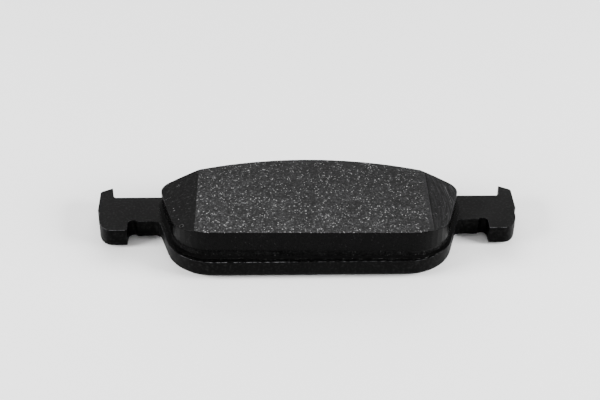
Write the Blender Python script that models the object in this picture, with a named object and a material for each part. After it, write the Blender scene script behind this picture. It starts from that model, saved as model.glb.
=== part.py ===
"""A disc brake pad: a steel backing plate with hammerhead ears, a moulded friction block on its
underlayer and adhesive film, and a rubber-coated steel shim bonded to the back.

Metres, +Z up. The pad lies on its shim with the friction face up. +X runs along the pad, +Y points
away from the disc's axle, and the origin is under the middle of the whole pad.
"""

import math

import bmesh
import bpy

# Driving dimensions.
PAD_LENGTH = 0.155
PAD_DEPTH = 0.0504
DISC_EDGE_RADIUS = 0.12925  # the friction block's back edge follows the disc's rim
BACK_LEDGE = 0.0015  # how far the plate stands out past the friction block, at the back
FRONT_LEDGE = 0.0031  # and at the front

PLATE_THICKNESS = 0.0069
ADHESIVE_THICKNESS = 0.0002
UNDERLAYER_THICKNESS = 0.0022
FRICTION_THICKNESS = 0.0079
SHIM_RUBBER_THICKNESS = 0.00015
SHIM_CORE_THICKNESS = 0.0005
SHIM_GLUE_THICKNESS = 0.0001
SHIM_INSET = 0.0008  # the shim's outline is the friction block's, drawn in to lie on the plate's flat
SHIM_GLUE_INSET = 0.0018
BOND_GAP = 0.00005  # between two layers that are bonded together

# Friction block, underlayer and adhesive, as seen from above. They are moulded on as one piece,
# which sits a little off the plate's middle and a little turned.
BLOCK_SHIFT_X = 0.0005
BLOCK_TURN = math.radians(-0.7)
BLOCK_BACK_X = 0.0553  # half length at the back corner
BLOCK_SIDE = (0.0536, 0.0030)  # where the end draws in more strongly
BLOCK_FRONT_X = 0.0470  # half length that the end would reach at the front edge
BLOCK_BACK_RADIUS = 0.0045
BLOCK_FRONT_RADIUS = 0.0150

# Chamfers ground on the ends of the friction face, and a narrow lead-in facet beside the right one.
LEFT_CHAMFER_X = 0.0411
LEFT_CHAMFER_SLOPE = math.radians(15.6)
LEAD_IN_X = 0.0414
LEAD_IN_SLOPE = math.radians(12)
RIGHT_CHAMFER_X = 0.0431
RIGHT_CHAMFER_SLOPE = math.radians(16.2)

# Ears: a straight stem with a horn at the back and a foot at the front.
STEM_BACK_Y = 0.0144
STEM_FRONT_Y = -0.0006
HORN_TIP = (0.0731, 0.0205)
HORN_SHOULDER_Y = 0.0181
HORN_SHOULDER_RADIUS = 0.0014
HORN_ROOT_X = 0.0722
HORN_FILLET = 0.0012
END_STEP_Y = 0.0056  # the end face steps in here, where the sheared edge breaks off
END_STEP = 0.0008
FOOT_FRONT_Y = -0.0059
FOOT_INNER_X = 0.0661
FOOT_CORNER = (0.0050, 0.0084)  # half axes of the foot's outer corner
RELIEF_RADIUS = 0.0019
RELIEF_CENTRE = (0.0641, -0.0017)

# Body of the plate.
BODY_SIDE_TOP_X = 0.0545  # half width where the stem's front edge meets the end
BODY_SIDE_FRONT_X = 0.0476  # half width that the end would reach at the front edge
BODY_CORNER_RADIUS = 0.0175
STEM_FILLET = 0.0028
BODY_DIE_ROLL = 0.0019  # rounding of the body's back edge
EAR_DIE_ROLL = 0.0003  # and of the ears', which are trued to slide in the bracket

KEYING_HOLE_RADIUS = 0.0055
KEYING_HOLE_X = (-0.036, -0.013, 0.013, 0.036)
KEYING_HOLE_Y = -0.001
NIB_RADIUS = 0.003
NIB_X = 0.0245
NIB_Y = 0.0065
SHIM_HOLE_RADIUS = 0.0033  # clear of the nib
SHIM_GLUE_HOLE_RADIUS = 0.006

RIM_STEPS = 12  # straight pieces in each half of an arc along the rim
DIE_ROLL_STEPS = 3

# Heights, from the surface that the pad lies on.
SHIM_OUTER_RUBBER_Z = 0.0
SHIM_CORE_Z = SHIM_OUTER_RUBBER_Z + SHIM_RUBBER_THICKNESS + BOND_GAP
SHIM_INNER_RUBBER_Z = SHIM_CORE_Z + SHIM_CORE_THICKNESS + BOND_GAP
SHIM_GLUE_Z = SHIM_INNER_RUBBER_Z + SHIM_RUBBER_THICKNESS + BOND_GAP
PLATE_Z = SHIM_GLUE_Z + SHIM_GLUE_THICKNESS + BOND_GAP
ADHESIVE_Z = PLATE_Z + PLATE_THICKNESS + BOND_GAP
UNDERLAYER_Z = ADHESIVE_Z + ADHESIVE_THICKNESS + BOND_GAP
FRICTION_Z = UNDERLAYER_Z + UNDERLAYER_THICKNESS + BOND_GAP
FRICTION_TOP_Z = FRICTION_Z + FRICTION_THICKNESS

PLATE_BACK_Y = PAD_DEPTH / 2
PLATE_FRONT_Y = -PAD_DEPTH / 2
BLOCK_BACK_Y = PLATE_BACK_Y - BACK_LEDGE
BLOCK_FRONT_Y = PLATE_FRONT_Y + FRONT_LEDGE
DISC_CENTRE_Y = BLOCK_BACK_Y - DISC_EDGE_RADIUS


def remove_everything():
    for obj in list(bpy.data.objects):
        bpy.data.objects.remove(obj, do_unlink=True)


def make_material(name, colour, roughness, metallic=0.0):
    material = bpy.data.materials.new(name)
    material.use_nodes = True
    shader = material.node_tree.nodes["Principled BSDF"]
    shader.inputs["Base Color"].default_value = (*colour, 1.0)
    shader.inputs["Roughness"].default_value = roughness
    shader.inputs["Metallic"].default_value = metallic
    return material


def rounded(before, corner, after, radius, steps=8):
    """Points of the arc that rounds the corner between its two neighbours."""
    (ax, ay), (bx, by), (cx, cy) = before, corner, after
    first = math.atan2(ay - by, ax - bx)
    second = math.atan2(cy - by, cx - bx)
    half = abs(math.remainder(second - first, math.tau)) / 2
    reach = radius / math.tan(half)
    middle = first + math.remainder(second - first, math.tau) / 2
    centre_x = bx + radius / math.sin(half) * math.cos(middle)
    centre_y = by + radius / math.sin(half) * math.sin(middle)
    start = math.atan2(by + reach * math.sin(first) - centre_y, bx + reach * math.cos(first) - centre_x)
    end = math.atan2(by + reach * math.sin(second) - centre_y, bx + reach * math.cos(second) - centre_x)
    turn = math.remainder(end - start, math.tau)
    return [
        (
            centre_x + radius * math.cos(start + turn * i / steps),
            centre_y + radius * math.sin(start + turn * i / steps),
        )
        for i in range(steps + 1)
    ]


def rim_point(x, ledge=0.0):
    """A point of the arc that runs along the disc's rim, this far outside the friction block."""
    return (x, DISC_CENTRE_Y + math.sqrt((DISC_EDGE_RADIUS + ledge) ** 2 - x * x))


def mirrored(half):
    """The whole outline, from its right half, which runs from the front edge to the back middle."""
    return half + [(-x, y) for x, y in reversed(half) if x > 0.0]


def block_outline(inset=0.0):
    """The friction block as seen from above, drawn in by the inset."""
    front = (BLOCK_FRONT_X - inset, BLOCK_FRONT_Y + inset)
    side = (BLOCK_SIDE[0] - inset, BLOCK_SIDE[1])
    back = rim_point(BLOCK_BACK_X - inset, -inset)
    half = rounded((0.0, front[1]), front, side, BLOCK_FRONT_RADIUS)
    half.append(side)
    half += rounded(side, back, rim_point(0.9 * BLOCK_BACK_X, -inset), BLOCK_BACK_RADIUS, steps=5)
    last_x = half[-1][0]
    half += [rim_point(last_x * (1 - i / RIM_STEPS), -inset) for i in range(1, RIM_STEPS + 1)]
    return mirrored(half)


def as_moulded(outline):
    """The outline, moved to where the mould puts the friction block on the plate."""
    across = math.cos(BLOCK_TURN)
    turn = math.sin(BLOCK_TURN)
    return [(BLOCK_SHIFT_X + across * x - turn * y, turn * x + across * y) for x, y in outline]


def ellipse_corner(centre, axes, first, last, steps=9):
    """Points along part of an ellipse, from one angle to another."""
    return [
        (
            centre[0] + axes[0] * math.cos(first + (last - first) * i / steps),
            centre[1] + axes[1] * math.sin(first + (last - first) * i / steps),
        )
        for i in range(steps + 1)
    ]


def relief_arc(steps=8):
    """The round undercut at the foot, from the stem's edge to the foot's inner side."""
    first = math.pi - math.asin((STEM_FRONT_Y - RELIEF_CENTRE[1]) / RELIEF_RADIUS)
    return ellipse_corner(RELIEF_CENTRE, (RELIEF_RADIUS, RELIEF_RADIUS), first, 0.0, steps)


def plate_outline():
    """The backing plate as seen from above."""
    end_x = PAD_LENGTH / 2
    front = (BODY_SIDE_FRONT_X, PLATE_FRONT_Y)
    shoulder = (BODY_SIDE_TOP_X, STEM_FRONT_Y)
    half = rounded((0.0, PLATE_FRONT_Y), front, shoulder, BODY_CORNER_RADIUS, steps=10)
    half += rounded(front, shoulder, (end_x, STEM_FRONT_Y), STEM_FILLET, steps=5)
    half += relief_arc()
    half.append((FOOT_INNER_X, FOOT_FRONT_Y))
    foot_end_x = end_x - END_STEP
    foot_centre = (foot_end_x - FOOT_CORNER[0], FOOT_FRONT_Y + FOOT_CORNER[1])
    half += ellipse_corner(foot_centre, FOOT_CORNER, -math.pi / 2, 0.0)
    half += [(foot_end_x, END_STEP_Y - END_STEP), (end_x, END_STEP_Y + END_STEP)]
    horn_shoulder = (end_x, HORN_SHOULDER_Y)
    half += rounded((end_x, 0.0), horn_shoulder, HORN_TIP, HORN_SHOULDER_RADIUS, steps=4)
    half.append(HORN_TIP)
    half += rounded(HORN_TIP, (HORN_ROOT_X, STEM_BACK_Y), (0.0, STEM_BACK_Y), HORN_FILLET, steps=4)
    outer = DISC_EDGE_RADIUS + BACK_LEDGE
    last_x = math.sqrt(outer**2 - (STEM_BACK_Y - DISC_CENTRE_Y) ** 2)
    half += [rim_point(last_x * (1 - i / RIM_STEPS), BACK_LEDGE) for i in range(RIM_STEPS + 1)]
    return mirrored(half)


def inward(outline, distances):
    """The outline with each point moved in by its own distance, square to the edges beside it."""
    moved = []
    for number, (x, y) in enumerate(outline):
        before = outline[number - 1]
        after = outline[(number + 1) % len(outline)]
        first = math.atan2(y - before[1], x - before[0])
        second = math.atan2(after[1] - y, after[0] - x)
        half_turn = math.remainder(second - first, math.tau) / 2
        heading = first + half_turn + math.pi / 2
        reach = distances[number] / max(math.cos(half_turn), 0.5)
        moved.append((x + reach * math.cos(heading), y + reach * math.sin(heading)))
    return moved


def extruded(outline, bottom, top):
    """A bmesh prism on the outline."""
    bm = bmesh.new()
    base = bm.faces.new([bm.verts.new((x, y, bottom)) for x, y in outline])
    grown = bmesh.ops.extrude_face_region(bm, geom=[base])["geom"]
    raised = [item for item in grown if isinstance(item, bmesh.types.BMVert)]
    bmesh.ops.translate(bm, verts=raised, vec=(0.0, 0.0, top - bottom))
    bmesh.ops.recalc_face_normals(bm, faces=bm.faces)
    return bm


def cylinder(x, y, radius, bottom, top, sides=32):
    """A bmesh cylinder that stands on the point."""
    circle = [
        (x + radius * math.cos(math.tau * i / sides), y + radius * math.sin(math.tau * i / sides))
        for i in range(sides)
    ]
    return extruded(circle, bottom, top)


def add_object(name, bm, material, smooth_angle=30):
    mesh = bpy.data.meshes.new(name)
    bm.to_mesh(mesh)
    bm.free()
    mesh.materials.append(material)
    mesh.shade_smooth()
    mesh.set_sharp_from_angle(angle=math.radians(smooth_angle))
    obj = bpy.data.objects.new(name, mesh)
    bpy.context.scene.collection.objects.link(obj)
    return obj


def combine(target, name, bm, operation):
    """Cuts the shape from the target, or joins it on, and keeps it as a hidden helper."""
    helper = add_object(name, bm, target.data.materials[0])
    helper.hide_render = True
    helper.display_type = "WIRE"
    modifier = target.modifiers.new(name, "BOOLEAN")
    modifier.operation = operation
    modifier.solver = "EXACT"
    modifier.object = helper


def cut_flat(bm, point, normal):
    """Grinds away what lies beyond a plane and closes the cut."""
    everything = bm.verts[:] + bm.edges[:] + bm.faces[:]
    bmesh.ops.bisect_plane(bm, geom=everything, plane_co=point, plane_no=normal, clear_outer=True)
    bmesh.ops.holes_fill(bm, edges=[edge for edge in bm.edges if edge.is_boundary])


def die_roll_at(point):
    """The back edge's rounding: large on the body, small on the ears, blended at the stem's root."""
    x = abs(point[0])
    share = min(max((x - BODY_SIDE_TOP_X + STEM_FILLET) / (2 * STEM_FILLET), 0.0), 1.0)
    return BODY_DIE_ROLL + share * (EAR_DIE_ROLL - BODY_DIE_ROLL)


def plate_blank():
    """The plate's solid: rings of points from the rounded back edge up to the square front edge."""
    outline = plate_outline()
    rolls = [die_roll_at(point) for point in outline]
    bm = bmesh.new()
    rings = []
    for step in range(DIE_ROLL_STEPS + 1):
        angle = math.pi / 2 * step / DIE_ROLL_STEPS
        insets = [roll * (1 - math.sin(angle)) for roll in rolls]
        heights = [PLATE_Z + roll * (1 - math.cos(angle)) for roll in rolls]
        ring = zip(inward(outline, insets), heights)
        rings.append([bm.verts.new((x, y, z)) for (x, y), z in ring])
    rings.append([bm.verts.new((x, y, PLATE_Z + PLATE_THICKNESS)) for x, y in outline])
    for lower, upper in zip(rings, rings[1:]):
        for i, vert in enumerate(lower):
            bm.faces.new((lower[i - 1], vert, upper[i], upper[i - 1]))
    bm.faces.new(reversed(rings[0]))
    bm.faces.new(rings[-1])
    bmesh.ops.recalc_face_normals(bm, faces=bm.faces)
    return bm


def build_backing_plate(material):
    plate = add_object("backing_plate", plate_blank(), material)
    for number, x in enumerate(KEYING_HOLE_X):
        hole = cylinder(x, KEYING_HOLE_Y, KEYING_HOLE_RADIUS, 0.0, PLATE_Z + 2 * PLATE_THICKNESS)
        combine(plate, f"keying_hole_{number}", hole, "DIFFERENCE")
    for side in (-1, 1):
        nib = cylinder(side * NIB_X, NIB_Y, NIB_RADIUS, SHIM_CORE_Z, PLATE_Z + PLATE_THICKNESS / 2, 24)
        combine(plate, f"nib_{'left' if side < 0 else 'right'}", nib, "UNION")


def build_bond_adhesive(material):
    sheet = extruded(as_moulded(block_outline()), ADHESIVE_Z, ADHESIVE_Z + ADHESIVE_THICKNESS)
    film = add_object("bond_adhesive", sheet, material)
    for number, x in enumerate(KEYING_HOLE_X):
        hole = cylinder(x, KEYING_HOLE_Y, KEYING_HOLE_RADIUS, PLATE_Z, UNDERLAYER_Z)
        combine(film, f"film_hole_{number}", hole, "DIFFERENCE")


def build_underlayer(material):
    sheet = extruded(as_moulded(block_outline()), UNDERLAYER_Z, UNDERLAYER_Z + UNDERLAYER_THICKNESS)
    layer = add_object("underlayer", sheet, material)
    for number, x in enumerate(KEYING_HOLE_X):
        plug_top = UNDERLAYER_Z + UNDERLAYER_THICKNESS / 2
        plug = cylinder(x, KEYING_HOLE_Y, KEYING_HOLE_RADIUS - BOND_GAP, PLATE_Z, plug_top)
        combine(layer, f"key_plug_{number}", plug, "UNION")


def grind_end(bm, x, height, slope):
    """Grinds a chamfer that starts at this place along the pad and falls away towards its end."""
    outwards = math.copysign(1.0, x)
    across = math.cos(BLOCK_TURN)
    turn = math.sin(BLOCK_TURN)
    start = (BLOCK_SHIFT_X + across * x, turn * x, height)
    tilt = outwards * math.sin(slope)
    cut_flat(bm, start, (tilt * across, tilt * turn, math.cos(slope)))


def build_friction_block(material):
    bm = extruded(as_moulded(block_outline()), FRICTION_Z, FRICTION_TOP_Z)
    grind_end(bm, -LEFT_CHAMFER_X, FRICTION_TOP_Z, LEFT_CHAMFER_SLOPE)
    grind_end(bm, LEAD_IN_X, FRICTION_TOP_Z, LEAD_IN_SLOPE)
    lead_in_drop = (RIGHT_CHAMFER_X - LEAD_IN_X) * math.tan(LEAD_IN_SLOPE)
    grind_end(bm, RIGHT_CHAMFER_X, FRICTION_TOP_Z - lead_in_drop, RIGHT_CHAMFER_SLOPE)
    bmesh.ops.recalc_face_normals(bm, faces=bm.faces)
    add_object("friction_block", bm, material)


def build_shim_layer(name, bottom, thickness, material, inset=SHIM_INSET, hole_radius=SHIM_HOLE_RADIUS):
    top = bottom + thickness
    layer = add_object(name, extruded(block_outline(inset), bottom, top), material)
    for side in (-1, 1):
        hole = cylinder(side * NIB_X, NIB_Y, hole_radius, bottom - thickness, top + thickness, 24)
        combine(layer, f"{name}_hole_{'left' if side < 0 else 'right'}", hole, "DIFFERENCE")


def main():
    remove_everything()
    powder_coat = make_material("black_powder_coat", (0.012, 0.012, 0.013), 0.45)
    adhesive = make_material("phenolic_adhesive", (0.02, 0.012, 0.008), 0.4)
    underlayer = make_material("underlayer_compound", (0.01, 0.01, 0.01), 0.8)
    friction = make_material("friction_compound", (0.045, 0.045, 0.046), 0.85)
    rubber = make_material("nitrile_rubber_coat", (0.012, 0.012, 0.012), 0.6)
    steel = make_material("zinc_plated_steel", (0.45, 0.45, 0.46), 0.35, 1.0)
    glue = make_material("acrylic_shim_glue", (0.25, 0.2, 0.12), 0.4)

    build_backing_plate(powder_coat)
    build_bond_adhesive(adhesive)
    build_underlayer(underlayer)
    build_friction_block(friction)
    build_shim_layer("shim_outer_rubber", SHIM_OUTER_RUBBER_Z, SHIM_RUBBER_THICKNESS, rubber)
    build_shim_layer("shim_steel_core", SHIM_CORE_Z, SHIM_CORE_THICKNESS, steel)
    build_shim_layer("shim_inner_rubber", SHIM_INNER_RUBBER_Z, SHIM_RUBBER_THICKNESS, rubber)
    build_shim_layer(
        "shim_glue", SHIM_GLUE_Z, SHIM_GLUE_THICKNESS, glue, SHIM_GLUE_INSET, SHIM_GLUE_HOLE_RADIUS
    )


main()
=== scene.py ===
import math
import random

import bmesh
import bpy
from mathutils import Matrix, Vector, noise
from mathutils.bvhtree import BVHTree


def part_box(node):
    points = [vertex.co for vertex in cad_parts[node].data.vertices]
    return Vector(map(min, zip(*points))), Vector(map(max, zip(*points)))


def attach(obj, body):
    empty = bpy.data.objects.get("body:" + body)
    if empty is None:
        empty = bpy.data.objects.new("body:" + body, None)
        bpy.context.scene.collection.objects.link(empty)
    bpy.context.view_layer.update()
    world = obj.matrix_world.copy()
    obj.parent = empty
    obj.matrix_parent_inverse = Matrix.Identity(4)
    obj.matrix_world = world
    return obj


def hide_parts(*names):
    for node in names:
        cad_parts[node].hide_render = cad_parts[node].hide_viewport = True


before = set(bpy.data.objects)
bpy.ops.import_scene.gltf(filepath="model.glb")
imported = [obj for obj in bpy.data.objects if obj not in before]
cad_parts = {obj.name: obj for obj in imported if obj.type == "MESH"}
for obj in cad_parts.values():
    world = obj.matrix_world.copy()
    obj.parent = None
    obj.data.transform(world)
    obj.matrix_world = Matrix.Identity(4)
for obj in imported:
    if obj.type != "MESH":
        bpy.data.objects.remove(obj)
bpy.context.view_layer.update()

mm = 0.001
mergeGap = 0.002 * mm  # points of a CAD node closer than this are one
levelGap = 0.02 * mm  # an edge this close to a height lies at it
flatAngle = math.radians(0.8)  # triangles closer than this in slope are one flat face
print("frame loaded:", ", ".join(sorted(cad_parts)))

# the friction block is moulded a little off the plate's middle and a little turned
blockShift = 0.5 * mm
blockTurn = math.radians(-0.7)
toBlock = (Matrix.Translation((blockShift, 0, 0)) @ Matrix.Rotation(blockTurn, 4, "Z")).inverted()


def hexColour(text):
    # sRGB hex to the linear values that sockets take
    parts = [int(text[i:i + 2], 16) / 255 for i in (1, 3, 5)]
    linear = [c / 12.92 if c <= 0.04045 else ((c + 0.055) / 1.055) ** 2.4 for c in parts]
    return (*linear, 1.0)


def setInputs(tree, node, links):
    # a socket is joined to the input, any other value is set on it
    for key, value in links.items():
        if isinstance(value, bpy.types.NodeSocket):
            tree.links.new(value, node.inputs[key])
        else:
            node.inputs[key].default_value = value


def addNode(tree, kind, settings=None, links=None):
    # one node with its settings and its inputs; "stops" are a colour ramp's (place, hex) pairs
    node = tree.nodes.new(kind)
    for key, value in (settings or {}).items():
        if key != "stops":
            setattr(node, key, value)
            continue
        stripes = node.color_ramp.elements
        while len(stripes) < len(value):
            stripes.new(0.5)
        for stripe, (place, colour) in zip(stripes, value):
            stripe.position, stripe.color = place, hexColour(colour)
    setInputs(tree, node, links or {})
    return node


def newMaterial(name):
    material = bpy.data.materials.new(name)
    material.use_nodes = True
    tree = material.node_tree
    coords = addNode(tree, "ShaderNodeTexCoord").outputs["Object"]
    return material, tree, tree.nodes["Principled BSDF"], coords


# epoxy powder coat baked on blasted steel: near black and satin, with a fine orange peel and
# grit, rubbed thin along the sharp blanked edges, where grey steel shows in short dashes
coat = {
    "dark": "#010101", "light": "#030303", "grit": "#5a5a5a", "gritShare": 0.04, "bareSteel": "#565658",
    "peelSize": 0.67 * mm, "cloudSize": 17 * mm, "dashSize": 1.4 * mm,
    "gritSize": 0.9 * mm,  # real grit is some 0.2 mm, drawn coarser so that it shows
    "specular": 0.028, "roughest": 0.52, "smoothest": 0.40, "peelHeight": 0.05 * mm,
}


def powderCoat():
    material, tree, shader, coords = newMaterial("blackPowderCoat")
    peel = addNode(tree, "ShaderNodeTexNoise", links={
        "Vector": coords, "Scale": 1 / coat["peelSize"], "Detail": 3, "Roughness": 0.6})
    cloud = addNode(tree, "ShaderNodeTexNoise", links={
        "Vector": coords, "Scale": 1 / coat["cloudSize"], "Detail": 4, "Roughness": 0.6})
    body = addNode(tree, "ShaderNodeValToRGB", {"stops": [(0.35, coat["dark"]), (0.65, coat["light"])]},
                   {"Fac": cloud.outputs["Fac"]})
    grit = addNode(tree, "ShaderNodeTexNoise", links={
        "Vector": coords, "Scale": 1 / coat["gritSize"], "Detail": 2, "Roughness": 0.5})
    dust = addNode(tree, "ShaderNodeValToRGB", {"stops": [(0.52, "#000000"), (0.66, coat["grit"])]},
                   {"Fac": grit.outputs["Fac"]})
    dusted = addNode(tree, "ShaderNodeMix", {"data_type": "RGBA", "blend_type": "ADD"}, {
        "Factor": coat["gritShare"], "A": body.outputs["Color"], "B": dust.outputs["Color"]})
    edge = addNode(tree, "ShaderNodeAttribute", {"attribute_name": "edgeWear"})
    dashes = addNode(tree, "ShaderNodeTexNoise", links={
        "Vector": coords, "Scale": 1 / coat["dashSize"], "Detail": 4, "Roughness": 0.7})
    broken = addNode(tree, "ShaderNodeMapRange", links={
        "Value": dashes.outputs["Fac"], "From Min": 0.46, "From Max": 0.56})
    worn = addNode(tree, "ShaderNodeMath", {"operation": "MULTIPLY"}, {
        0: edge.outputs["Fac"], 1: broken.outputs["Result"]})
    colour = addNode(tree, "ShaderNodeMix", {"data_type": "RGBA"}, {
        "Factor": worn.outputs[0], "A": dusted.outputs["Result"], "B": hexColour(coat["bareSteel"])})
    rough = addNode(tree, "ShaderNodeMapRange", links={
        "Value": cloud.outputs["Fac"], "From Min": 0.3, "From Max": 0.7,
        "To Min": coat["smoothest"], "To Max": coat["roughest"]})
    bump = addNode(tree, "ShaderNodeBump", links={
        "Height": peel.outputs["Fac"], "Strength": 0.3, "Distance": coat["peelHeight"]})
    setInputs(tree, shader, {
        "Base Color": colour.outputs["Result"], "Roughness": rough.outputs["Result"],
        "Normal": bump.outputs["Normal"], "Specular IOR Level": coat["specular"]})
    return material


# hot pressed friction compound: dark phenolic binder with grey mineral grains, graphite and
# a few bright steel fibres; how bright it looks depends on how far each face was ground open
compounds = {
    "groundCompound": {"tones": ("#151516", "#2e2e2e", "#58585a"), "patch": "#515152", "speck": "#909090",
                       "speckShare": 0.13, "grainSize": 0.67 * mm, "bump": 0.12 * mm, "specular": 0.15,
                       "roughness": 0.85},
    "burnishedCompound": {"tones": ("#040404", "#0c0c0c", "#222222"), "patch": "#2c2c2c", "speck": "#2c2c2c",
                          "speckShare": 0.12, "grainSize": 0.77 * mm, "bump": 0.08 * mm, "specular": 0.09,
                          "roughness": 0.85},
    "grindCompound": {"tones": ("#050505", "#0d0d0e", "#1c1c1d"), "patch": "#3c3c3c", "speck": "#303030",
                      "speckShare": 0.1, "grainSize": 0.71 * mm, "bump": 0.06 * mm, "specular": 0.12,
                      "roughness": 0.85},
    "leadInCompound": {"tones": ("#141415", "#242425", "#353536"), "patch": "#808080", "speck": "#6a6a6a",
                       "speckShare": 0.04, "grainSize": 0.67 * mm, "bump": 0.06 * mm, "specular": 0.15,
                       "roughness": 0.85},
    "mouldedCompound": {"tones": ("#030303", "#060606", "#0d0d0d"), "patch": "#808080", "speck": "#1a1a1a",
                        "speckShare": 0.05, "grainSize": 0.62 * mm, "bump": 0.02 * mm, "specular": 0.036,
                        "roughness": 0.2},
}


def frictionCompound(name):
    mix = compounds[name]
    material, tree, shader, coords = newMaterial(name)
    grain = addNode(tree, "ShaderNodeTexNoise", links={
        "Vector": coords, "Scale": 1 / mix["grainSize"], "Detail": 6, "Roughness": 0.72})
    cells = addNode(tree, "ShaderNodeTexVoronoi", links={
        "Vector": coords, "Scale": 1.25 / mix["grainSize"], "Randomness": 1.0})
    cloud = addNode(tree, "ShaderNodeTexNoise", links={
        "Vector": coords, "Scale": 1 / (7 * mm), "Detail": 4, "Roughness": 0.6})
    dark, middle, light = mix["tones"]
    body = addNode(tree, "ShaderNodeValToRGB", {"stops": [(0.36, dark), (0.52, middle), (0.66, light)]},
                   {"Fac": grain.outputs["Fac"]})
    cellTone = addNode(tree, "ShaderNodeSeparateColor", links={"Color": cells.outputs["Color"]})
    patch = addNode(tree, "ShaderNodeValToRGB",
                    {"stops": [(0.0, mix["patch"]), (0.6, "#b4b4b5"), (1.0, "#ffffff")]},
                    {"Fac": cellTone.outputs[0]})
    patched = addNode(tree, "ShaderNodeMix", {"data_type": "RGBA", "blend_type": "MULTIPLY"}, {
        "Factor": 0.8, "A": body.outputs["Color"], "B": patch.outputs["Color"]})
    clouds = addNode(tree, "ShaderNodeValToRGB", {"stops": [(0.3, "#c4c4c4"), (0.7, "#ffffff")]},
                     {"Fac": cloud.outputs["Fac"]})
    clouded = addNode(tree, "ShaderNodeMix", {"data_type": "RGBA", "blend_type": "MULTIPLY"}, {
        "Factor": 1.0, "A": patched.outputs["Result"], "B": clouds.outputs["Color"]})
    # most cells stay plain, a few are pale, and fewer still are bright
    pale = addNode(tree, "ShaderNodeMapRange", links={
        "Value": cellTone.outputs[1], "From Min": 1 - mix["speckShare"], "From Max": 1.0})
    graded = addNode(tree, "ShaderNodeMath", {"operation": "POWER"}, {0: pale.outputs["Result"], 1: 1.6})
    core = addNode(tree, "ShaderNodeMapRange", links={
        "Value": cells.outputs["Distance"], "From Min": 0.55, "From Max": 0.3})
    speck = addNode(tree, "ShaderNodeMath", {"operation": "MULTIPLY"}, {
        0: graded.outputs[0], 1: core.outputs["Result"]})
    colour = addNode(tree, "ShaderNodeMix", {"data_type": "RGBA"}, {
        "Factor": speck.outputs[0], "A": clouded.outputs["Result"], "B": hexColour(mix["speck"])})
    bump = addNode(tree, "ShaderNodeBump", links={
        "Height": grain.outputs["Fac"], "Strength": 0.6, "Distance": mix["bump"]})
    setInputs(tree, shader, {
        "Base Color": colour.outputs["Result"], "Roughness": mix["roughness"],
        "Normal": bump.outputs["Normal"], "Specular IOR Level": mix["specular"]})
    return material


def paintLightAndShadeAlong(material, axis, start, end, startShare, endShare):
    # painted light and shade: the base colour grows darker or lighter from one place along an axis to another
    tree = material.node_tree
    shader = tree.nodes["Principled BSDF"]
    under = shader.inputs["Base Color"].links[0].from_socket
    coords = addNode(tree, "ShaderNodeTexCoord").outputs["Object"]
    split = addNode(tree, "ShaderNodeSeparateXYZ", links={"Vector": coords})
    share = addNode(tree, "ShaderNodeMapRange", links={
        "Value": split.outputs[axis], "From Min": start, "From Max": end,
        "To Min": startShare, "To Max": endShare})
    faded = addNode(tree, "ShaderNodeMix", {"data_type": "RGBA", "blend_type": "MULTIPLY"}, {
        "Factor": 1.0, "A": under, "B": share.outputs["Result"]})
    setInputs(tree, shader, {"Base Color": faded.outputs["Result"]})


# arcs that the grinding cup leaves: noise stretched round a point near the pad's middle
streaks = {"centre": (-5 * mm, -5 * mm, 0), "width": 0.55 * mm, "colour": "#2d2d2e",
           "near": 49 * mm, "far": 57 * mm, "nearShare": 0.15, "farShare": 0.9}


def addStreaks(material):
    tree = material.node_tree
    shader = tree.nodes["Principled BSDF"]
    under = shader.inputs["Base Color"].links[0].from_socket
    coords = addNode(tree, "ShaderNodeTexCoord").outputs["Object"]
    moved = addNode(tree, "ShaderNodeMapping", {"vector_type": "TEXTURE"}, {
        "Vector": coords, "Location": streaks["centre"]})
    flat = addNode(tree, "ShaderNodeVectorMath", {"operation": "MULTIPLY"}, {
        0: moved.outputs["Vector"], 1: (1, 1, 0)})
    split = addNode(tree, "ShaderNodeSeparateXYZ", links={"Vector": flat.outputs["Vector"]})
    angle = addNode(tree, "ShaderNodeMath", {"operation": "ARCTAN2"}, {
        0: split.outputs["Y"], 1: split.outputs["X"]})
    reach = addNode(tree, "ShaderNodeVectorMath", {"operation": "LENGTH"}, {0: flat.outputs["Vector"]})
    across = addNode(tree, "ShaderNodeMath", {"operation": "DIVIDE"}, {
        0: reach.outputs["Value"], 1: streaks["width"]})
    along = addNode(tree, "ShaderNodeMath", {"operation": "MULTIPLY"}, {0: angle.outputs[0], 1: 7.0})
    polar = addNode(tree, "ShaderNodeCombineXYZ", links={"X": across.outputs[0], "Y": along.outputs[0]})
    arcs = addNode(tree, "ShaderNodeTexNoise", links={
        "Vector": polar.outputs["Vector"], "Scale": 1.0, "Detail": 3, "Roughness": 0.6})
    sharp = addNode(tree, "ShaderNodeMapRange", links={
        "Value": arcs.outputs["Fac"], "From Min": 0.48, "From Max": 0.72})
    outer = addNode(tree, "ShaderNodeMapRange", links={
        "Value": reach.outputs["Value"], "From Min": streaks["near"], "From Max": streaks["far"],
        "To Min": streaks["nearShare"], "To Max": streaks["farShare"]})
    share = addNode(tree, "ShaderNodeMath", {"operation": "MULTIPLY"}, {
        0: sharp.outputs["Result"], 1: outer.outputs["Result"]})
    streaked = addNode(tree, "ShaderNodeMix", {"data_type": "RGBA"}, {
        "Factor": share.outputs[0], "A": under, "B": hexColour(streaks["colour"])})
    setInputs(tree, shader, {"Base Color": streaked.outputs["Result"]})


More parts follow.
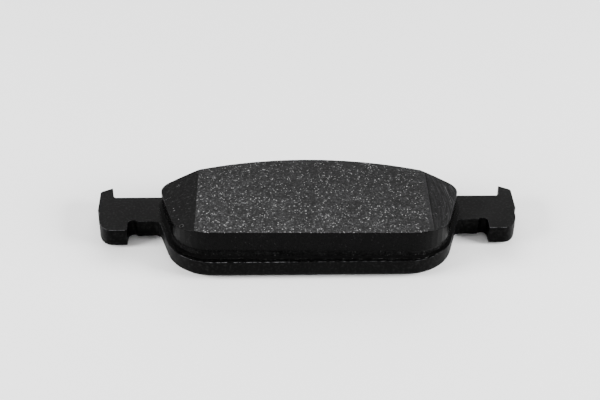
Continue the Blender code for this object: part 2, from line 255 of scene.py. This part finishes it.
# the plainer finishes: two close tones in a cloud of that size, with a fine bump
finishes = {
    # fracture faces of the compound, matt and crumbly
    "brokenCompound": {"tones": ("#1c1c1c", "#5a5a5a"), "cloudSize": 0.67 * mm, "roughness": 0.8,
                       "specular": 0.2, "bump": 0.05 * mm},
    # zircon and chalk crushed to grit
    "crushedMineral": {"tones": ("#5a5a5a", "#a8a8a8"), "cloudSize": 1.25 * mm, "roughness": 0.7,
                       "specular": 0.3, "bump": 0.02 * mm},
    # flake graphite, pressed flat and slightly greasy
    "flakeGraphite": {"tones": ("#121213", "#2a2a2b"), "cloudSize": 1.1 * mm, "roughness": 0.4,
                      "specular": 0.3, "bump": 0.01 * mm},
    # low carbon steel wool, cut bright by the wheel
    "steelFibre": {"tones": ("#6a6a6b", "#8c8c8d"), "cloudSize": 1.1 * mm, "roughness": 0.45,
                   "metallic": 1.0, "bump": 0.01 * mm},
    # the plate's steel where a knock went through the coat
    "bareSteel": {"tones": ("#77777a", "#a2a2a4"), "cloudSize": 0.67 * mm, "roughness": 0.4,
                  "metallic": 1.0, "bump": 0.01 * mm},
    # heat cured phenolic adhesive, squeezed out black and dull
    "phenolicAdhesive": {"tones": ("#060606", "#0d0d0d"), "cloudSize": 0.77 * mm, "roughness": 0.45,
                         "specular": 0.012, "bump": 0.05 * mm},
    # nitrile rubber baked on the shim's steel, matt
    "nitrileRubberCoat": {"tones": ("#171718", "#242425"), "cloudSize": 2 * mm, "roughness": 0.55,
                          "specular": 0.3, "bump": 0.03 * mm},
    # cold rolled sheet with a thin bright zinc plating
    "zincPlatedSteel": {"tones": ("#9c9c9e", "#b8b8ba"), "cloudSize": 3.8 * mm, "roughness": 0.35,
                        "metallic": 1.0, "bump": 0.01 * mm},
    # clear acrylic glue, yellowish in the layer
    "acrylicGlue": {"tones": ("#b8a988", "#cbbd9c"), "cloudSize": 3.3 * mm, "roughness": 0.4,
                    "specular": 0.5, "bump": 0.02 * mm},
}


def plainFinish(name):
    finish = finishes[name]
    material, tree, shader, coords = newMaterial(name)
    cloud = addNode(tree, "ShaderNodeTexNoise", links={
        "Vector": coords, "Scale": 1 / finish["cloudSize"], "Detail": 5, "Roughness": 0.65})
    tones = addNode(tree, "ShaderNodeValToRGB",
                    {"stops": [(0.35, finish["tones"][0]), (0.65, finish["tones"][1])]},
                    {"Fac": cloud.outputs["Fac"]})
    rough = addNode(tree, "ShaderNodeMapRange", links={
        "Value": cloud.outputs["Fac"], "From Min": 0.3, "From Max": 0.7,
        "To Min": finish["roughness"] - 0.06, "To Max": finish["roughness"] + 0.06})
    grain = addNode(tree, "ShaderNodeTexNoise", links={
        "Vector": coords, "Scale": 1 / (0.45 * mm), "Detail": 4, "Roughness": 0.6})
    bump = addNode(tree, "ShaderNodeBump", links={
        "Height": grain.outputs["Fac"], "Strength": 0.4, "Distance": finish["bump"]})
    setInputs(tree, shader, {
        "Base Color": tones.outputs["Color"], "Roughness": rough.outputs["Result"],
        "Normal": bump.outputs["Normal"], "Metallic": finish.get("metallic", 0.0)})
    if "specular" in finish:
        setInputs(tree, shader, {"Specular IOR Level": finish["specular"]})
    return material


def cadCopy(nodeName):
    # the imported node's mesh, its doubles merged and its flat triangles joined again
    bm = bmesh.new()
    bm.from_mesh(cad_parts[nodeName].data)
    bmesh.ops.remove_doubles(bm, verts=bm.verts, dist=mergeGap)
    bmesh.ops.dissolve_limit(bm, angle_limit=flatAngle, verts=bm.verts, edges=bm.edges)
    return bm


def addPiece(name, bm, material, nodes=(), smoothAngle=28, weighted=True):
    bmesh.ops.recalc_face_normals(bm, faces=bm.faces)
    mesh = bpy.data.meshes.new(name)
    bm.to_mesh(mesh)
    bm.free()
    mesh.materials.append(material)
    mesh.shade_smooth()
    mesh.set_sharp_from_angle(angle=math.radians(smoothAngle))
    piece = bpy.data.objects.new(name, mesh)
    bpy.context.scene.collection.objects.link(piece)
    if weighted:
        piece.modifiers.new("flatFaces", "WEIGHTED_NORMAL").keep_sharp = True
    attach(piece, "root")
    if nodes:
        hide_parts(*nodes)
    print("made", name, len(mesh.polygons), "faces")
    return piece


def edgesAt(bm, height):
    # the edges at this height where a level face meets a wall
    found = []
    for edge in bm.edges:
        if all(abs(v.co.z - height) < levelGap for v in edge.verts) and len(edge.link_faces) == 2:
            tilts = sorted(abs(f.normal.z) for f in edge.link_faces)
            if tilts[0] < 0.5 < tilts[1]:
                found.append(edge)
    return found


def splitLongEdges(bm, edges, length):
    # cuts each of these edges into pieces no longer than this
    edges = list(edges)
    while edges:
        edges = [e for e in edges if e.calc_length() > length]
        if edges:
            split = bmesh.ops.subdivide_edges(bm, edges=edges, cuts=1)["geom_split"]
            edges = [e for e in split if isinstance(e, bmesh.types.BMEdge)]


def cutFaces(bm, faces, point, normal):
    # one flat cut through these faces only
    edges = {e for f in faces for e in f.edges}
    verts = {v for f in faces for v in f.verts}
    bmesh.ops.bisect_plane(bm, geom=[*faces, *edges, *verts], plane_co=point, plane_no=normal,
                           dist=0.001 * mm)


plate = {
    "edgeBevel": 0.11 * mm,
    "edgePiece": 1.1 * mm,  # the blanked edge wavers over about this length
    "edgeWaver": 0.05 * mm,
    "waverScale": 700,  # waves of some 1.4 mm
    "nibBevel": 0.12 * mm,
    "frontEdge": -24.5,  # from here forwards an edge lies on the straight front, mm
    "frontWear": ((-36, 0.35), (-8, 1.0), (12, 0.55), (60, 0.35)),  # up to this place in mm, this share
    "footWear": 0.7,
    "otherWear": 0.3,
}


def wearAt(place):
    # rubbed most along the straight front edge, left of the middle, then on the feet and the left corner
    x, y = place.x / mm, place.y / mm
    if y < plate["frontEdge"]:
        return next(share for end, share in plate["frontWear"] if x < end)
    onFoot, leftCorner = abs(x) > 62 and y < -2, x < -40 and y < -14
    return plate["footWear"] if onFoot or leftCorner else plate["otherWear"]


def makePlate():
    bm = cadCopy("backing_plate")
    top = max(v.co.z for v in bm.verts)
    wearLayer = bm.faces.layers.float.new("edgeWear")
    splitLongEdges(bm, edgesAt(bm, top), plate["edgePiece"])
    bm.normal_update()
    made = bmesh.ops.bevel(bm, geom=edgesAt(bm, top), affect="EDGES", offset=plate["edgeBevel"],
                           segments=2, profile=0.5, material=-1)
    for face in made["faces"]:
        face[wearLayer] = wearAt(face.calc_center_median())
    for vert in {v for f in made["faces"] for v in f.verts}:
        waver = plate["edgeWaver"] * noise.noise(Vector((vert.co.x, vert.co.y, 0)) * plate["waverScale"])
        vert.co += Vector((vert.normal.x, vert.normal.y, 0)) * min(waver, 0.0)
    # the nibs are half sheared out of the plate, so their ends have a round edge
    low = min(v.co.z for v in bm.verts)
    for face in [f for f in bm.faces if f.normal.z < -0.9 and f.calc_center_median().z < low + levelGap]:
        bmesh.ops.bevel(bm, geom=list(face.edges), affect="EDGES", offset=plate["nibBevel"],
                        segments=2, profile=0.5, material=-1)
    addPiece("backingPlateBody", bm, powderCoat(), ["backing_plate"])


block = {
    "step": 0.5 * mm,  # the size of the faces that carry the roughness
    "wallStep": 0.8 * mm,  # the walls are cut in height too, so that a chip bends no long face
    "rimBevel": 0.14 * mm,
    "roughness": 0.04 * mm, "roughScale": 1.1, "roughLevel": 0.3,  # below the level the face sinks
    "pitDepth": 0.3 * mm, "pitScale": 0.9, "pitLevel": 0.38,  # above the level there is a pit
    "calm": 0.45,  # the chamfers and the rim are this much less rough
    "groove": (0.0, 0.2 * mm, 0.42 * mm),  # lip, bottom and lip of the groove beside the lead-in
    "grooveDepth": 0.16 * mm,
    "leadInEnd": 43.1 * mm,
    "streakDepth": 0.02 * mm, "streakWidth": 1.2,  # mm
    "chips": (  # place, reach and depth, mm
        ((48.2, -17.1, 16.6), 0.9, 0.45), ((-45.5, -15.7, 17.1), 0.75, 0.3),
        ((-37.0, 16.0, 18.4), 0.8, 0.12), ((-12.5, -22.0, 18.4), 0.7, 0.15), ((21.0, -22.0, 18.4), 0.6, 0.12),
    ),
    # from this place to that, and how light at each
    "paintedShadeTowardsBack": (-22 * mm, 22 * mm, 1.0, 0.42),  # painted shade: the ground face is darker towards the back
    # painted light and shade: the ground face is lighter at the left and darker at the right
    "paintedShadeTowardsRight": (-40 * mm, 40 * mm, 1.32, 0.92),
    "paintedLightAtWallFoot": (9.6 * mm, 10.6 * mm, 4.6, 1.0),  # painted light: the foot of the wall is made lighter to cancel the shade where the ledge blocks the light from the floor
}
groundFace, leftChamfer, rightChamfer, mouldedSkin, leadIn = range(5)


def markFaces(bm):
    for face in bm.faces:
        face.material_index = groundFace if face.normal.z > 0.9999 else mouldedSkin
        if 0.8 < face.normal.z < 0.9999:
            flatter = leadIn if face.normal.z > 0.97 else rightChamfer
            face.material_index = leftChamfer if face.normal.x < 0 else flatter


def cutGroove(bm):
    # the corner of the grinding wheel leaves a fine groove where the lead-in ends
    across = Vector((math.cos(blockTurn), math.sin(blockTurn), 0))
    for reach in block["groove"][1:]:
        start = Vector((blockShift, 0, 0)) + across * (block["leadInEnd"] + reach)
        cutFaces(bm, [f for f in bm.faces if f.material_index == rightChamfer], start, across)
    end = block["leadInEnd"] + block["groove"][2]
    for face in bm.faces:
        if face.material_index == rightChamfer and (toBlock @ face.calc_center_median()).x < end:
            face.material_index = leftChamfer


def inGroove(place):
    # 1 at the bottom of that groove, 0 at its lips and beyond
    near, bottom, far = block["groove"]
    reach = (toBlock @ place).x - block["leadInEnd"]
    return max(1 - abs(reach - bottom) / ((far - near) / 2), 0)


def roughen(bm, highest):
    for vert in bm.verts:
        if vert.normal.z < 0.3 or len(vert.link_edges) < 3:
            continue
        place = vert.co / mm
        marks = {f.material_index for f in vert.link_faces}
        rise = noise.fractal(place * block["roughScale"], 0.9, 2.0, 4) - block["roughLevel"]
        pit = max(noise.noise(place * block["pitScale"] + Vector((31, 7, 3))) - block["pitLevel"], 0)
        sink = block["pitDepth"] * pit - block["roughness"] * min(rise, 0)
        if marks != {groundFace}:
            sink *= block["calm"]
        if place.x > 0 and marks & {leftChamfer, rightChamfer}:
            arc = (place.xy - Vector(streaks["centre"]).xy / mm).length / block["streakWidth"]
            sink += block["grooveDepth"] * inGroove(vert.co)
            sink += block["streakDepth"] * (1 + noise.noise(Vector((arc, 0, 0))))
        vert.co -= vert.normal * sink
    for centre, reach, depth in block["chips"]:
        for vert in bm.verts:
            near = (vert.co / mm - Vector(centre)).length / reach
            if near < 1:
                inwards = Vector((vert.normal.x, vert.normal.y, max(vert.normal.z, 0.4)))
                vert.co -= inwards * depth * mm * (1 - near ** 2)
    for vert in bm.verts:
        vert.co.z = min(vert.co.z, highest)


def makeFrictionBlock():
    bm = cadCopy("friction_block")
    markFaces(bm)
    cutGroove(bm)
    rim = []
    for edge in bm.edges:
        tilts = sorted(f.normal.z for f in edge.link_faces)
        if len(tilts) == 2 and abs(tilts[0]) < 0.3 and tilts[1] > 0.7:
            rim.append(edge)
    bmesh.ops.bevel(bm, geom=rim, affect="EDGES", offset=block["rimBevel"],
                    segments=2, profile=0.5, material=-1)
    low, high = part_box("friction_block")
    for axis, step in ((0, block["step"]), (1, block["step"]), (2, block["wallStep"])):
        normal = Matrix.Identity(3)[axis]
        for i in range(1, math.ceil((high[axis] - low[axis]) / step)):
            faces = [f for f in bm.faces if f.normal.z > -0.5 and (axis < 2 or f.normal.z < 0.5)]
            cutFaces(bm, faces, normal * (low[axis] + i * step), normal)
    bm.normal_update()
    roughen(bm, high.z)
    bm.normal_update()
    surface = BVHTree.FromBMesh(bm)
    kinds = [f.material_index for f in bm.faces]
    ground = frictionCompound("groundCompound")
    # painted light and shade across the ground face
    paintLightAndShadeAlong(ground, "Y", *block["paintedShadeTowardsBack"])
    paintLightAndShadeAlong(ground, "X", *block["paintedShadeTowardsRight"])
    skin = frictionCompound("mouldedCompound")
    # painted light lightens the lower wall where the ledge shades it
    paintLightAndShadeAlong(skin, "Z", *block["paintedLightAtWallFoot"])
    right = frictionCompound("grindCompound")
    addStreaks(right)
    piece = addPiece("frictionBlockBody", bm, ground, ["friction_block"],
                     smoothAngle=40, weighted=False)
    for material in (frictionCompound("burnishedCompound"), right, skin, frictionCompound("leadInCompound")):
        piece.data.materials.append(material)
    return surface, kinds, skin


# what lies in the friction face, real sizes; crumbs thinner than 0.1 mm are left to the material
grains = {
    "seed": 11,
    "mineralCount": 420, "mineralSize": (0.13 * mm, 0.16 * mm),  # the least, and what the largest add
    "flakeCount": 150, "flakeSize": (0.2 * mm, 0.5 * mm),
    "fibreCount": 110, "fibreLength": (0.3 * mm, 0.9 * mm), "fibreWidth": 0.07 * mm,
    "chamferShare": 0.02,  # the chamfers show few of them
    "leastLevel": 0.8, "leastHeight": 15 * mm,  # they lie on the face and the chamfers, not on the walls
}


def onSurface(surface, x, y):
    hit, normal, face, _ = surface.ray_cast(Vector((x, y, 50 * mm)), Vector((0, 0, -1)))
    found = hit and normal.z > grains["leastLevel"] and hit.z > grains["leastHeight"]
    return (hit, normal, face) if found else (None, None, None)


def settle(bm, verts, hit, normal, turn, size, sink):
    # turns a small shape flat on the surface, stretches it and presses it in
    shape = (Matrix.Translation(hit - normal * sink) @ normal.to_track_quat("Z", "Y").to_matrix().to_4x4()
             @ Matrix.Rotation(turn, 4, "Z") @ Matrix.Diagonal((*size, 1)))
    bmesh.ops.transform(bm, matrix=shape, verts=verts)
    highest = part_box("friction_block")[1].z
    for vert in verts:
        vert.co.z = min(vert.co.z, highest)


def addMineral(bm, hit, normal, turn):
    verts = bmesh.ops.create_icosphere(bm, subdivisions=1, radius=1)["verts"]
    for vert in verts:
        vert.co *= random.uniform(0.75, 1.15)
    least, more = grains["mineralSize"]
    wide = least + more * random.random() ** 2
    settle(bm, verts, hit, normal, turn, (wide, wide * random.uniform(0.6, 0.95), 0.06 * mm), 0.025 * mm)


def addFlake(bm, hit, normal, turn):
    verts = bmesh.ops.create_cone(bm, cap_ends=True, segments=7, radius1=1, radius2=0.85, depth=1)["verts"]
    for vert in verts:
        vert.co.xy *= random.uniform(0.7, 1.2)
    wide = random.uniform(*grains["flakeSize"])
    settle(bm, verts, hit, normal, turn, (wide, wide * random.uniform(0.5, 0.9), 0.05 * mm), 0.012 * mm)


def addFibre(bm, hit, normal, turn):
    verts = bmesh.ops.create_cone(bm, cap_ends=True, segments=6, radius1=1, radius2=0.7, depth=2)["verts"]
    bmesh.ops.rotate(bm, verts=verts, cent=(0, 0, 0), matrix=Matrix.Rotation(math.pi / 2, 3, "Y"))
    long = random.uniform(*grains["fibreLength"])
    settle(bm, verts, hit, normal, turn, (long, grains["fibreWidth"], 0.05 * mm), 0.015 * mm)


def makeGrains(surface, kinds):
    random.seed(grains["seed"])
    low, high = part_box("friction_block")
    for name, material, addOne, count in (
        ("mineralGrains", "crushedMineral", addMineral, grains["mineralCount"]),
        ("graphiteFlakes", "flakeGraphite", addFlake, grains["flakeCount"]),
        ("steelFibres", "steelFibre", addFibre, grains["fibreCount"]),
    ):
        bm = bmesh.new()
        placed = 0
        while placed < count:
            place = random.uniform(low.x, high.x), random.uniform(low.y, high.y)
            hit, normal, face = onSurface(surface, *place)
            if hit is None or (kinds[face] != groundFace and random.random() > grains["chamferShare"]):
                continue
            placed += 1
            addOne(bm, hit, normal, random.uniform(0, math.tau))
        addPiece(name, bm, plainFinish(material), weighted=False)


chipRing = {"place": (-45.5 * mm, -15.7 * mm), "radius": 0.75 * mm, "thickness": 0.07 * mm,
            "crumble": 0.12 * mm, "crumbleScale": 2600}  # crumbs of some 0.4 mm


def makeChipRing(surface):
    # crumbs standing round a small knocked-out pit on the left chamfer
    bm = bmesh.new()
    profile = bmesh.ops.create_circle(bm, cap_ends=False, segments=6, radius=chipRing["thickness"])["verts"]
    bmesh.ops.rotate(bm, verts=profile, cent=(0, 0, 0), matrix=Matrix.Rotation(math.pi / 2, 3, "X"))
    bmesh.ops.translate(bm, verts=profile, vec=(chipRing["radius"], 0, 0))
    bmesh.ops.spin(bm, geom=[*bm.verts, *bm.edges], cent=(0, 0, 0), axis=(0, 0, 1), dvec=(0, 0, 0),
                   angle=math.tau, steps=20, use_merge=True)
    for vert in bm.verts:
        vert.co += chipRing["crumble"] * noise.noise_vector(vert.co * chipRing["crumbleScale"])
    x, y = chipRing["place"]
    hit, normal, _ = onSurface(surface, x, y + chipRing["radius"])
    slope = normal.to_track_quat("Z", "Y").to_matrix().to_4x4()
    bmesh.ops.transform(bm, matrix=Matrix.Translation((x, y, hit.z)) @ slope, verts=bm.verts)
    addPiece("chipRing", bm, plainFinish("brokenCompound"), weighted=False)


scratches = {  # start, end and width of each stroke, mm
    "onEars": (((69.1, -2.3), (70.3, -2.5), 0.16), ((70.6, -2.2), (71.7, -2.4), 0.14),
               ((-71.9, -3.4), (-70.4, -3.1), 0.1)),
    "onBlock": (((-52.6, 2.5), (-50.1, 3.6), 0.14), ((-48.3, 9.5), (-46.9, 10.4), 0.2),
                ((-47.7, 10.9), (-47.3, 9.1), 0.16), ((-44.3, -2.6), (-43.4, -2.8), 0.12),
                ((46.5, -5.6), (47.2, -5.1), 0.14), ((52.0, 3.3), (52.4, 2.5), 0.14),
                ((50.7, 9.0), (52.0, -1.0), 0.2)),
    "height": 0.03 * mm,
}


def addStroke(bm, start, end, width):
    # a thin tapered sliver from one point to another
    verts = bmesh.ops.create_cone(bm, cap_ends=True, segments=6, radius1=1, radius2=0.5, depth=2)["verts"]
    along = end - start
    turn = along.to_track_quat("Z", "X").to_matrix().to_4x4()
    size = Matrix.Diagonal((scratches["height"], width / 2, along.length / 2, 1))
    bmesh.ops.transform(bm, matrix=Matrix.Translation((start + end) / 2) @ turn @ size, verts=verts)


def makeScratches(surface):
    # nicks through the coat on the ears, and pale strokes where the chamfers were knocked
    onEars, onBlock = bmesh.new(), bmesh.new()
    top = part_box("backing_plate")[1].z - scratches["height"]
    for start, end, width in scratches["onEars"]:
        addStroke(onEars, Vector((*start, 0)) * mm + Vector((0, 0, top)),
                  Vector((*end, 0)) * mm + Vector((0, 0, top)), width * mm)
    for start, end, width in scratches["onBlock"]:
        addStroke(onBlock, onSurface(surface, start[0] * mm, start[1] * mm)[0],
                  onSurface(surface, end[0] * mm, end[1] * mm)[0], width * mm)
    addPiece("bareScratches", onEars, plainFinish("bareSteel"), weighted=False)
    addPiece("blockScratches", onBlock, plainFinish("brokenCompound"), weighted=False)


bond = {
    # the side lip is widened so that its black covers the ledge beside the block as painted shade
    "frontLip": 1.55 * mm, "sideLipAndShade": 1.2 * mm,
    "unevenness": 0.35, "unevenScale": 300,  # waves of some 3 mm
    "lipPiece": 0.7 * mm,  # the lip wavers over about this length
    "holes": ((-36, -1), (-13, -1), (13, -1), (36, -1)), "holeReach": 6,  # the keying holes, mm
    "crumbColour": "#505050", "crumbSize": 1.25 * mm,
    "crumbs": ((-42, 0.8), (10, 0.35), (60, 1.0)),  # up to this place in mm, this share
}


def adhesiveMaterial():
    # pale grinding dust is caught in the soft lip before it cures
    material = plainFinish("phenolicAdhesive")
    tree = material.node_tree
    shader = tree.nodes["Principled BSDF"]
    under = shader.inputs["Base Color"].links[0].from_socket
    coords = addNode(tree, "ShaderNodeTexCoord").outputs["Object"]
    lip = addNode(tree, "ShaderNodeAttribute", {"attribute_name": "edgeWear"})
    crumbs = addNode(tree, "ShaderNodeTexNoise", links={
        "Vector": coords, "Scale": 1 / bond["crumbSize"], "Detail": 4, "Roughness": 0.7})
    broken = addNode(tree, "ShaderNodeMapRange", links={
        "Value": crumbs.outputs["Fac"], "From Min": 0.54, "From Max": 0.68})
    share = addNode(tree, "ShaderNodeMath", {"operation": "MULTIPLY"}, {
        0: lip.outputs["Fac"], 1: broken.outputs["Result"]})
    dusted = addNode(tree, "ShaderNodeMix", {"data_type": "RGBA"}, {
        "Factor": share.outputs[0], "A": under, "B": hexColour(bond["crumbColour"])})
    setInputs(tree, shader, {"Base Color": dusted.outputs["Result"]})
    return material


def makeAdhesive():
    bm = cadCopy("bond_adhesive")
    # the film squeezes out past the block in an uneven lip, widest at the front; at the sides the black lip
    # is widened over the plate's ledge as painted shade
    level = [e for e in bm.edges if abs(e.verts[0].co.z - e.verts[1].co.z) < 0.01 * mm]
    splitLongEdges(bm, level, bond["lipPiece"])
    bm.normal_update()
    wearLayer = bm.faces.layers.float.new("edgeWear")
    lip = set()
    for face in bm.faces:
        middle = face.calc_center_median() / mm
        inHole = any(math.hypot(middle.x - x, middle.y - y) < bond["holeReach"] for x, y in bond["holes"])
        if not inHole and abs(face.normal.z) < 0.5:
            face[wearLayer] = next(share for end, share in bond["crumbs"] if middle.x < end)
            lip.update(face.verts)
    for vert in lip:
        outwards = Vector((vert.normal.x, vert.normal.y, 0)).normalized()
        front = max(-outwards.y, 0) ** 2
        reach = bond["sideLipAndShade"] + (bond["frontLip"] - bond["sideLipAndShade"]) * front
        uneven = noise.fractal(Vector((vert.co.x, vert.co.y, 0)) * bond["unevenScale"], 0.8, 2.0, 3)
        vert.co += outwards * reach * (1 + bond["unevenness"] * uneven)
    addPiece("adhesiveFilm", bm, adhesiveMaterial(), ["bond_adhesive"], weighted=False)


def makeUnderlayer(skin):
    # pressed with the block in one mould, so it wears the same skin
    addPiece("underlayerSheet", cadCopy("underlayer"), skin, ["underlayer"])


shim = {"rimBevel": 0.04 * mm}


def makeShim():
    rubber = plainFinish("nitrileRubberCoat")
    for name, node, material, slotName in (
        ("shimOuterRubber", "shim_outer_rubber", rubber, "nitrile_rubber"),
        ("shimSteelCore", "shim_steel_core", plainFinish("zincPlatedSteel"), "shim_steel"),
        ("shimInnerRubber", "shim_inner_rubber", rubber, "nitrile_rubber"),
        ("shimGlueFilm", "shim_glue", plainFinish("acrylicGlue"), "shim_glue"),
    ):
        bm = cadCopy(node)
        low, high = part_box(node)
        rims = {*edgesAt(bm, low.z), *edgesAt(bm, high.z)}
        bmesh.ops.bevel(bm, geom=list(rims), affect="EDGES", offset=shim["rimBevel"],
                        segments=2, profile=0.5, material=-1)
        addPiece(name, bm, material, [node])


studio = {
    "floor": "#fbfbfb",
    "floorSize": 6.0,
    "worldStrength": 0.3,
    "softboxes": {  # place, size, watts; all aimed at the pad
        "overheadSoftbox": ((0.0, 0.10, 0.9), (0.9, 0.7), 2),
        "backSoftbox": ((0.0, 1.0, 0.62), (1.2, 0.6), 12.5),
        "leftSoftbox": ((-0.75, -0.2, 0.30), (0.4, 0.4), 18),
        "rightSoftbox": ((0.75, -0.2, 0.30), (0.4, 0.4), 21),
        "frontSoftbox": ((0.0, -0.95, 0.36), (0.9, 0.25), 2),
    },
}


def makeFloor():
    bm = bmesh.new()
    bmesh.ops.create_grid(bm, x_segments=1, y_segments=1, size=studio["floorSize"])
    bmesh.ops.translate(bm, verts=bm.verts, vec=(0, 0, -0.02 * mm))
    mesh = bpy.data.meshes.new("floor")
    bm.to_mesh(mesh)
    bm.free()
    material, tree, shader, _ = newMaterial("paperSweep")
    setInputs(tree, shader, {
        "Base Color": hexColour(studio["floor"]), "Roughness": 0.9, "Specular IOR Level": 0.1})
    mesh.materials.append(material)
    floor = bpy.data.objects.new("floor", mesh)
    bpy.context.scene.collection.objects.link(floor)


def makeStudio():
    makeFloor()
    world = bpy.data.worlds.new("studio")
    world.use_nodes = True
    setInputs(world.node_tree, world.node_tree.nodes["Background"], {
        "Color": hexColour("#ffffff"), "Strength": studio["worldStrength"]})
    bpy.context.scene.world = world
    for name, (place, size, watts) in studio["softboxes"].items():
        lamp = bpy.data.lights.new(name, "AREA")
        lamp.shape = "RECTANGLE"
        lamp.size, lamp.size_y = size
        lamp.energy = watts
        box = bpy.data.objects.new(name, lamp)
        aim = (-Vector(place)).to_track_quat("-Z", "Y").to_matrix().to_4x4()
        box.matrix_world = Matrix.Translation(place) @ aim
        bpy.context.scene.collection.objects.link(box)


view = {
    "lens": 80, "sensor": 36,
    "elevation": math.radians(35.69), "azimuth": math.radians(-2.414), "roll": math.radians(1.033),
    "target": Vector((-0.0023, 0.02197, 0.00092)), "distance": 0.5111,
}


def makeCamera():
    lens = bpy.data.cameras.new("studioCamera")
    lens.lens = view["lens"]
    lens.sensor_width = view["sensor"]
    lens.clip_start = 0.01
    lens.clip_end = 20
    camera = bpy.data.objects.new("studioCamera", lens)
    level = math.cos(view["elevation"])
    backwards = Vector((math.sin(view["azimuth"]) * level, -math.cos(view["azimuth"]) * level,
                        math.sin(view["elevation"])))
    camera.matrix_world = (Matrix.Translation(view["target"] + view["distance"] * backwards)
                           @ backwards.to_track_quat("Z", "Y").to_matrix().to_4x4()
                           @ Matrix.Rotation(view["roll"], 4, "Z"))
    bpy.context.scene.collection.objects.link(camera)
    bpy.context.scene.camera = camera


makePlate()
frictionSurface, faceKinds, skin = makeFrictionBlock()
makeGrains(frictionSurface, faceKinds)
makeChipRing(frictionSurface)
makeScratches(frictionSurface)
makeUnderlayer(skin)
makeAdhesive()
makeShim()
makeStudio()
makeCamera()
print("studio ready")
